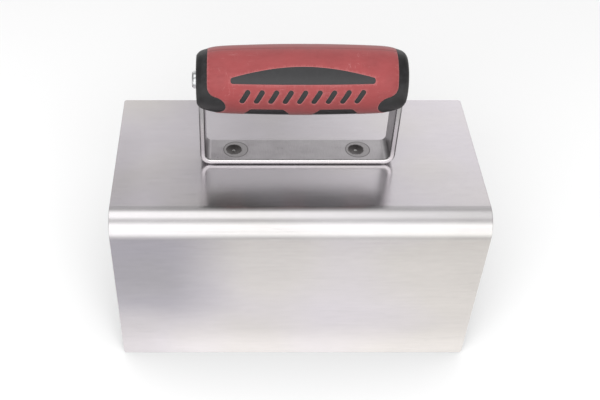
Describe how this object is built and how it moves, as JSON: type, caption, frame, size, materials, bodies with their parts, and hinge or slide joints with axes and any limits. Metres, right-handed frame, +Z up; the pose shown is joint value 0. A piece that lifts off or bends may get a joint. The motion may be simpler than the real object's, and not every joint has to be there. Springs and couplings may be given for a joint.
{
  "type": "step edger",
  "caption": "Hand tool for the outside edge of a fresh concrete step: right-angled steel blade with a large radius, riveted strap bracket and a soft-sleeved grip on a long screw.",
  "frame": {"origin": "at mid-length, on the line where the planes of the two working faces meet, the corner of the step that the tool finishes", "axes": "+X along the blade's length and the grip; +Y from the riser face back over the tread; +Z up, from the tread face to the grip"},
  "size_m": [0.2032, 0.1079, 0.1766],
  "materials": {
    "blade_steel": "satin cold-rolled stainless sheet",
    "strap_steel": "brushed bright steel strap with smooth edges",
    "rivet_steel": "brushed, with a polished dish",
    "screw_steel": "bright zinc plate",
    "core_plastic": "fine-textured black polypropylene",
    "sleeve_rubber": "soft red overmould, satin"
  },
  "bodies": {
    "root": {"blade": "blade_steel", "handle_bracket": "strap_steel", "rivet_left": "rivet_steel", "rivet_right": "rivet_steel", "grip_core": "core_plastic", "grip_sleeve": "sleeve_rubber", "handle_screw": "screw_steel"}
  },
  "joints": []
}
